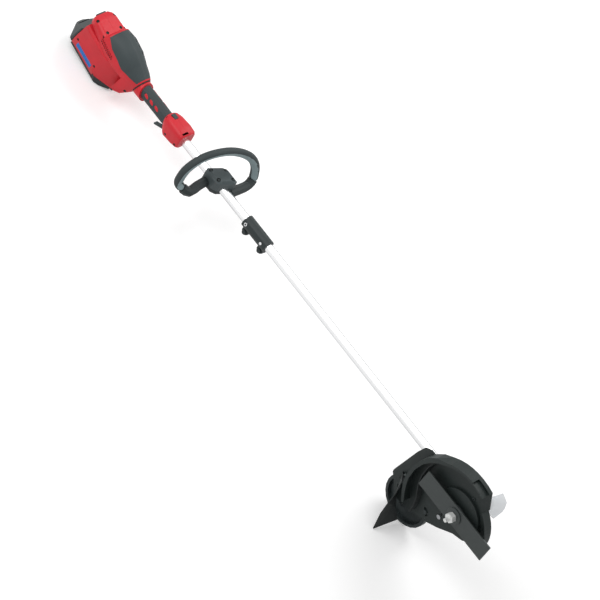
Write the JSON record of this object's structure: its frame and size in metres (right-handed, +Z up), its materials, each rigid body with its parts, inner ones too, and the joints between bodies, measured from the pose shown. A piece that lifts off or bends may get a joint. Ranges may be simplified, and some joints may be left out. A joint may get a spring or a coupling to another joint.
{
  "type": "cordless stick edger",
  "caption": "Cordless lawn edger: battery power head, straight split shaft with loop handle, and guarded cutting blade with a depth wheel.",
  "frame": {"origin": "on the ground, under the shaft, halfway along the tool", "axes": "+X forwards along the tool towards the blade, +Y to the operator's left, +Z up; the tool lies as it stands on the floor, on its battery and depth wheel"},
  "size_m": [1.5995, 0.2185, 0.3638],
  "materials": {
    "red_plastic": "satin",
    "grey_plastic": "matte",
    "black_plastic": "satin",
    "guard_black": "satin",
    "rubber": "matte",
    "tube": "satin",
    "bright": "polished",
    "steel": "brushed",
    "blade_steel": "satin",
    "bronze": "satin",
    "aluminium": "cast",
    "cast_metal": "satin",
    "cell_wrap": "wrapped cells",
    "clear_plastic": "translucent"
  },
  "bodies": {
    "shaft": {"upper_tube": "tube", "upper_liner": "bronze", "coupler_body": "black_plastic", "port_ring": "bright", "coupler_bolt": "black_plastic", "grip_core": "red_plastic", "grip_sleeve": "grey_plastic", "trigger_housing_right": "red_plastic", "trigger_housing_left": "red_plastic", "trigger_pin": "steel", "housing_right": "red_plastic", "housing_left": "red_plastic", "motor_cover": "grey_plastic", "neck_cuff": "black_plastic", "terminal_block": "black_plastic", "motor_stator": "aluminium", "motor_mount": "aluminium"},
    "battery": {"battery_case": "red_plastic", "battery_base": "black_plastic", "battery_rear_cap": "black_plastic", "battery_cells": "cell_wrap"},
    "latch": {"battery_latch": "black_plastic"},
    "trigger": {"trigger_lever": "grey_plastic"},
    "lockout": {"lockout_button": "grey_plastic"},
    "handle": {"handle_frame": "black_plastic", "handle_cap": "black_plastic", "handle_sleeve": "grey_plastic", "handle_screw_front_left": "steel", "handle_screw_front_right": "steel", "handle_screw_rear_left": "steel", "handle_screw_rear_right": "steel"},
    "clamp_knob": {"coupler_knob": "black_plastic"},
    "release_button": {"spring_button": "bright"},
    "rotor": {"motor_rotor": "steel"},
    "upper_drive": {"upper_drive_shaft": "steel", "reduction_gear": "steel"},
    "attachment": {"lower_tube": "tube", "lower_liner": "bronze", "gearbox_housing": "cast_metal", "gearbox_cover": "cast_metal", "spindle_bearing_left": "steel", "spindle_bearing_right": "steel", "pinion_bearing": "steel", "guard_shell": "guard_black", "guard_curtain": "rubber", "deflector_flap": "rubber", "line_guide": "clear_plastic", "arm_pivot_bolt": "black_plastic"},
    "lower_drive": {"lower_drive_shaft": "steel", "bevel_pinion": "steel"},
    "cutter": {"spindle": "bright", "bevel_gear": "steel", "inner_flange": "cast_metal", "blade": "blade_steel", "outer_flange": "blade_steel", "blade_nut": "bright"},
    "wheel_bracket": {"wheel_arm": "black_plastic", "wheel_axle": "steel"},
    "wheel": {"depth_wheel": "black_plastic"},
    "arm_knob": {"arm_lock_knob": "black_plastic"}
  },
  "joints": [
    {"name": "blade_spin", "type": "hinge", "parent": "attachment", "child": "cutter", "pos_m": [0.68548, 0, 0.22699], "axis": [0, 1, 0], "continuous": true},
    {"name": "lower_drive_spin", "type": "hinge", "parent": "attachment", "child": "lower_drive", "pos_m": [0.28496, 0, 0.18714], "axis": [0.9951, 0, 0.099], "continuous": true},
    {"name": "upper_drive_spin", "type": "hinge", "parent": "shaft", "child": "upper_drive", "pos_m": [-0.4116, 0, 0.11785], "axis": [0.9951, 0, 0.099], "continuous": true},
    {"name": "motor_spin", "type": "hinge", "parent": "shaft", "child": "rotor", "pos_m": [-0.6435, 0, 0.12553], "axis": [0.9951, 0, 0.099], "continuous": true},
    {"name": "attachment_slide", "type": "slide", "parent": "shaft", "child": "attachment", "axis": [0.9951, 0, 0.099], "range_m": [0, 0.06]},
    {"name": "battery_slide", "type": "slide", "parent": "shaft", "child": "battery", "axis": [-0.9907, 0, 0.136], "range_m": [0, 0.09]},
    {"name": "battery_latch_press", "type": "slide", "parent": "shaft", "child": "latch", "axis": [0.9907, 0, -0.136], "range_m": [0, 0.003], "stiffness_N_per_m": 400, "springref_m": -0.003},
    {"name": "trigger_pull", "type": "hinge", "parent": "shaft", "child": "trigger", "pos_m": [-0.45574, 0, 0.09687], "axis": [0, 1, 0], "range_deg": [0, 14], "stiffness_Nm_per_rad": 0.6, "springref_deg": -11.46},
    {"name": "lockout_press", "type": "slide", "parent": "shaft", "child": "lockout", "axis": [0.099, 0, -0.9951], "range_m": [0, 0.003], "stiffness_N_per_m": 300, "springref_m": -0.003},
    {"name": "handle_slide", "type": "slide", "parent": "shaft", "child": "handle", "axis": [0.9951, 0, 0.099], "range_m": [-0.03, 0.03]},
    {"name": "clamp_knob_turn", "type": "hinge", "parent": "shaft", "child": "clamp_knob", "pos_m": [-0.09993, -0.00391, 0.12658], "axis": [0.0172, 0.9848, -0.1728], "range_deg": [0, 720]},
    {"name": "release_button_lift", "type": "slide", "parent": "shaft", "child": "release_button", "axis": [-0.0339, -0.9397, 0.3403], "range_m": [0, 0.003], "stiffness_N_per_m": 400, "springref_m": -0.003},
    {"name": "wheel_height", "type": "hinge", "parent": "attachment", "child": "wheel_bracket", "pos_m": [0.6555, 0, 0.15467], "axis": [0, 1, 0], "range_deg": [-7, 7]},
    {"name": "wheel_spin", "type": "hinge", "parent": "wheel_bracket", "child": "wheel", "pos_m": [0.56729, 0, 0.0665], "axis": [0, 1, 0], "continuous": true},
    {"name": "arm_knob_turn", "type": "hinge", "parent": "wheel_bracket", "child": "arm_knob", "pos_m": [0.62374, 0, 0.12293], "axis": [0, 1, 0], "range_deg": [0, 720]}
  ],
  "couplings": [
    {"joint": "lower_drive_spin", "follows": "blade_spin", "ratio": 2},
    {"joint": "upper_drive_spin", "follows": "blade_spin", "ratio": 2},
    {"joint": "motor_spin", "follows": "blade_spin", "ratio": -6}
  ]
}
